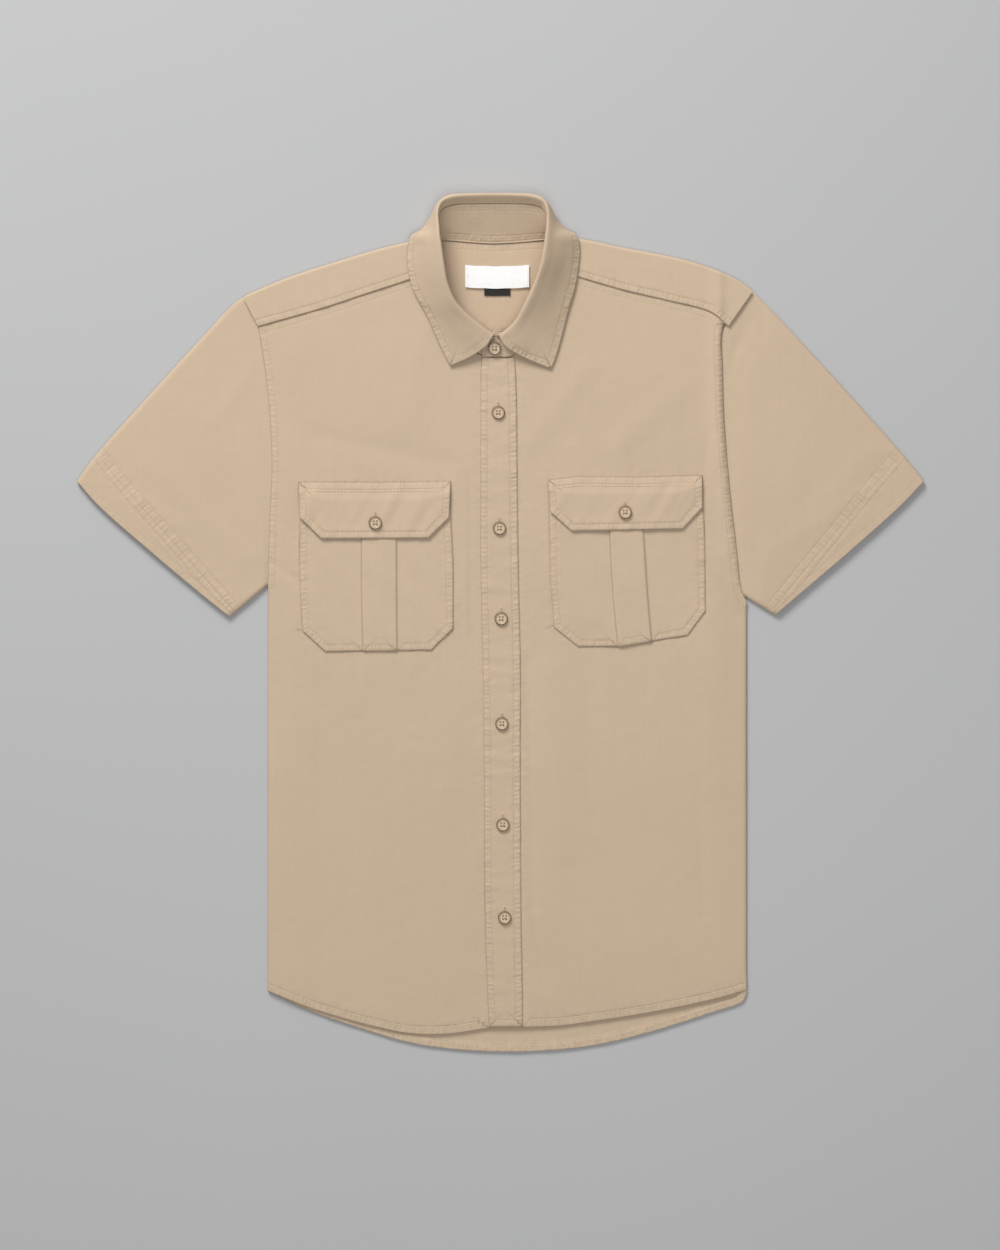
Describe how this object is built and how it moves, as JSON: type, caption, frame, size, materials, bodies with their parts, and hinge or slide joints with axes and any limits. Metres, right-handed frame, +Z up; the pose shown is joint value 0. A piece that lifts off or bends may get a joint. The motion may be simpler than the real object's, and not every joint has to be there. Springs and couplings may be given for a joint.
{
  "type": "shirt",
  "caption": "Short-sleeved button-up shirt in tan twill, laid flat on its back, with a turned-down collar on a stand and flapped, pleated chest pockets.",
  "frame": {"origin": "middle of the shirt's outline, on the surface that it lies on", "axes": "+X towards the wearer's left, +Y towards the collar, +Z up out of the front"},
  "size_m": [0.7958, 0.8062, 0.0311],
  "materials": {
    "twill": "matt cotton twill, garment washed",
    "button": "satin horn-look resin",
    "label": "woven white tape",
    "tab": "woven black tape"
  },
  "bodies": {
    "root": {"back": "twill", "yoke": "twill", "front_right": "twill", "front_left": "twill", "placket": "twill", "collar_stand": "twill", "collar_leaf": "twill", "sleeve_right": "twill", "sleeve_left": "twill", "pocket_right": "twill", "pocket_left": "twill", "flap_right": "twill", "flap_left": "twill", "button_1": "button", "button_2": "button", "button_3": "button", "button_4": "button", "button_5": "button", "button_6": "button", "button_collar": "button", "button_pocket_right": "button", "button_pocket_left": "button", "label": "label", "size_tab": "tab"}
  },
  "joints": []
}
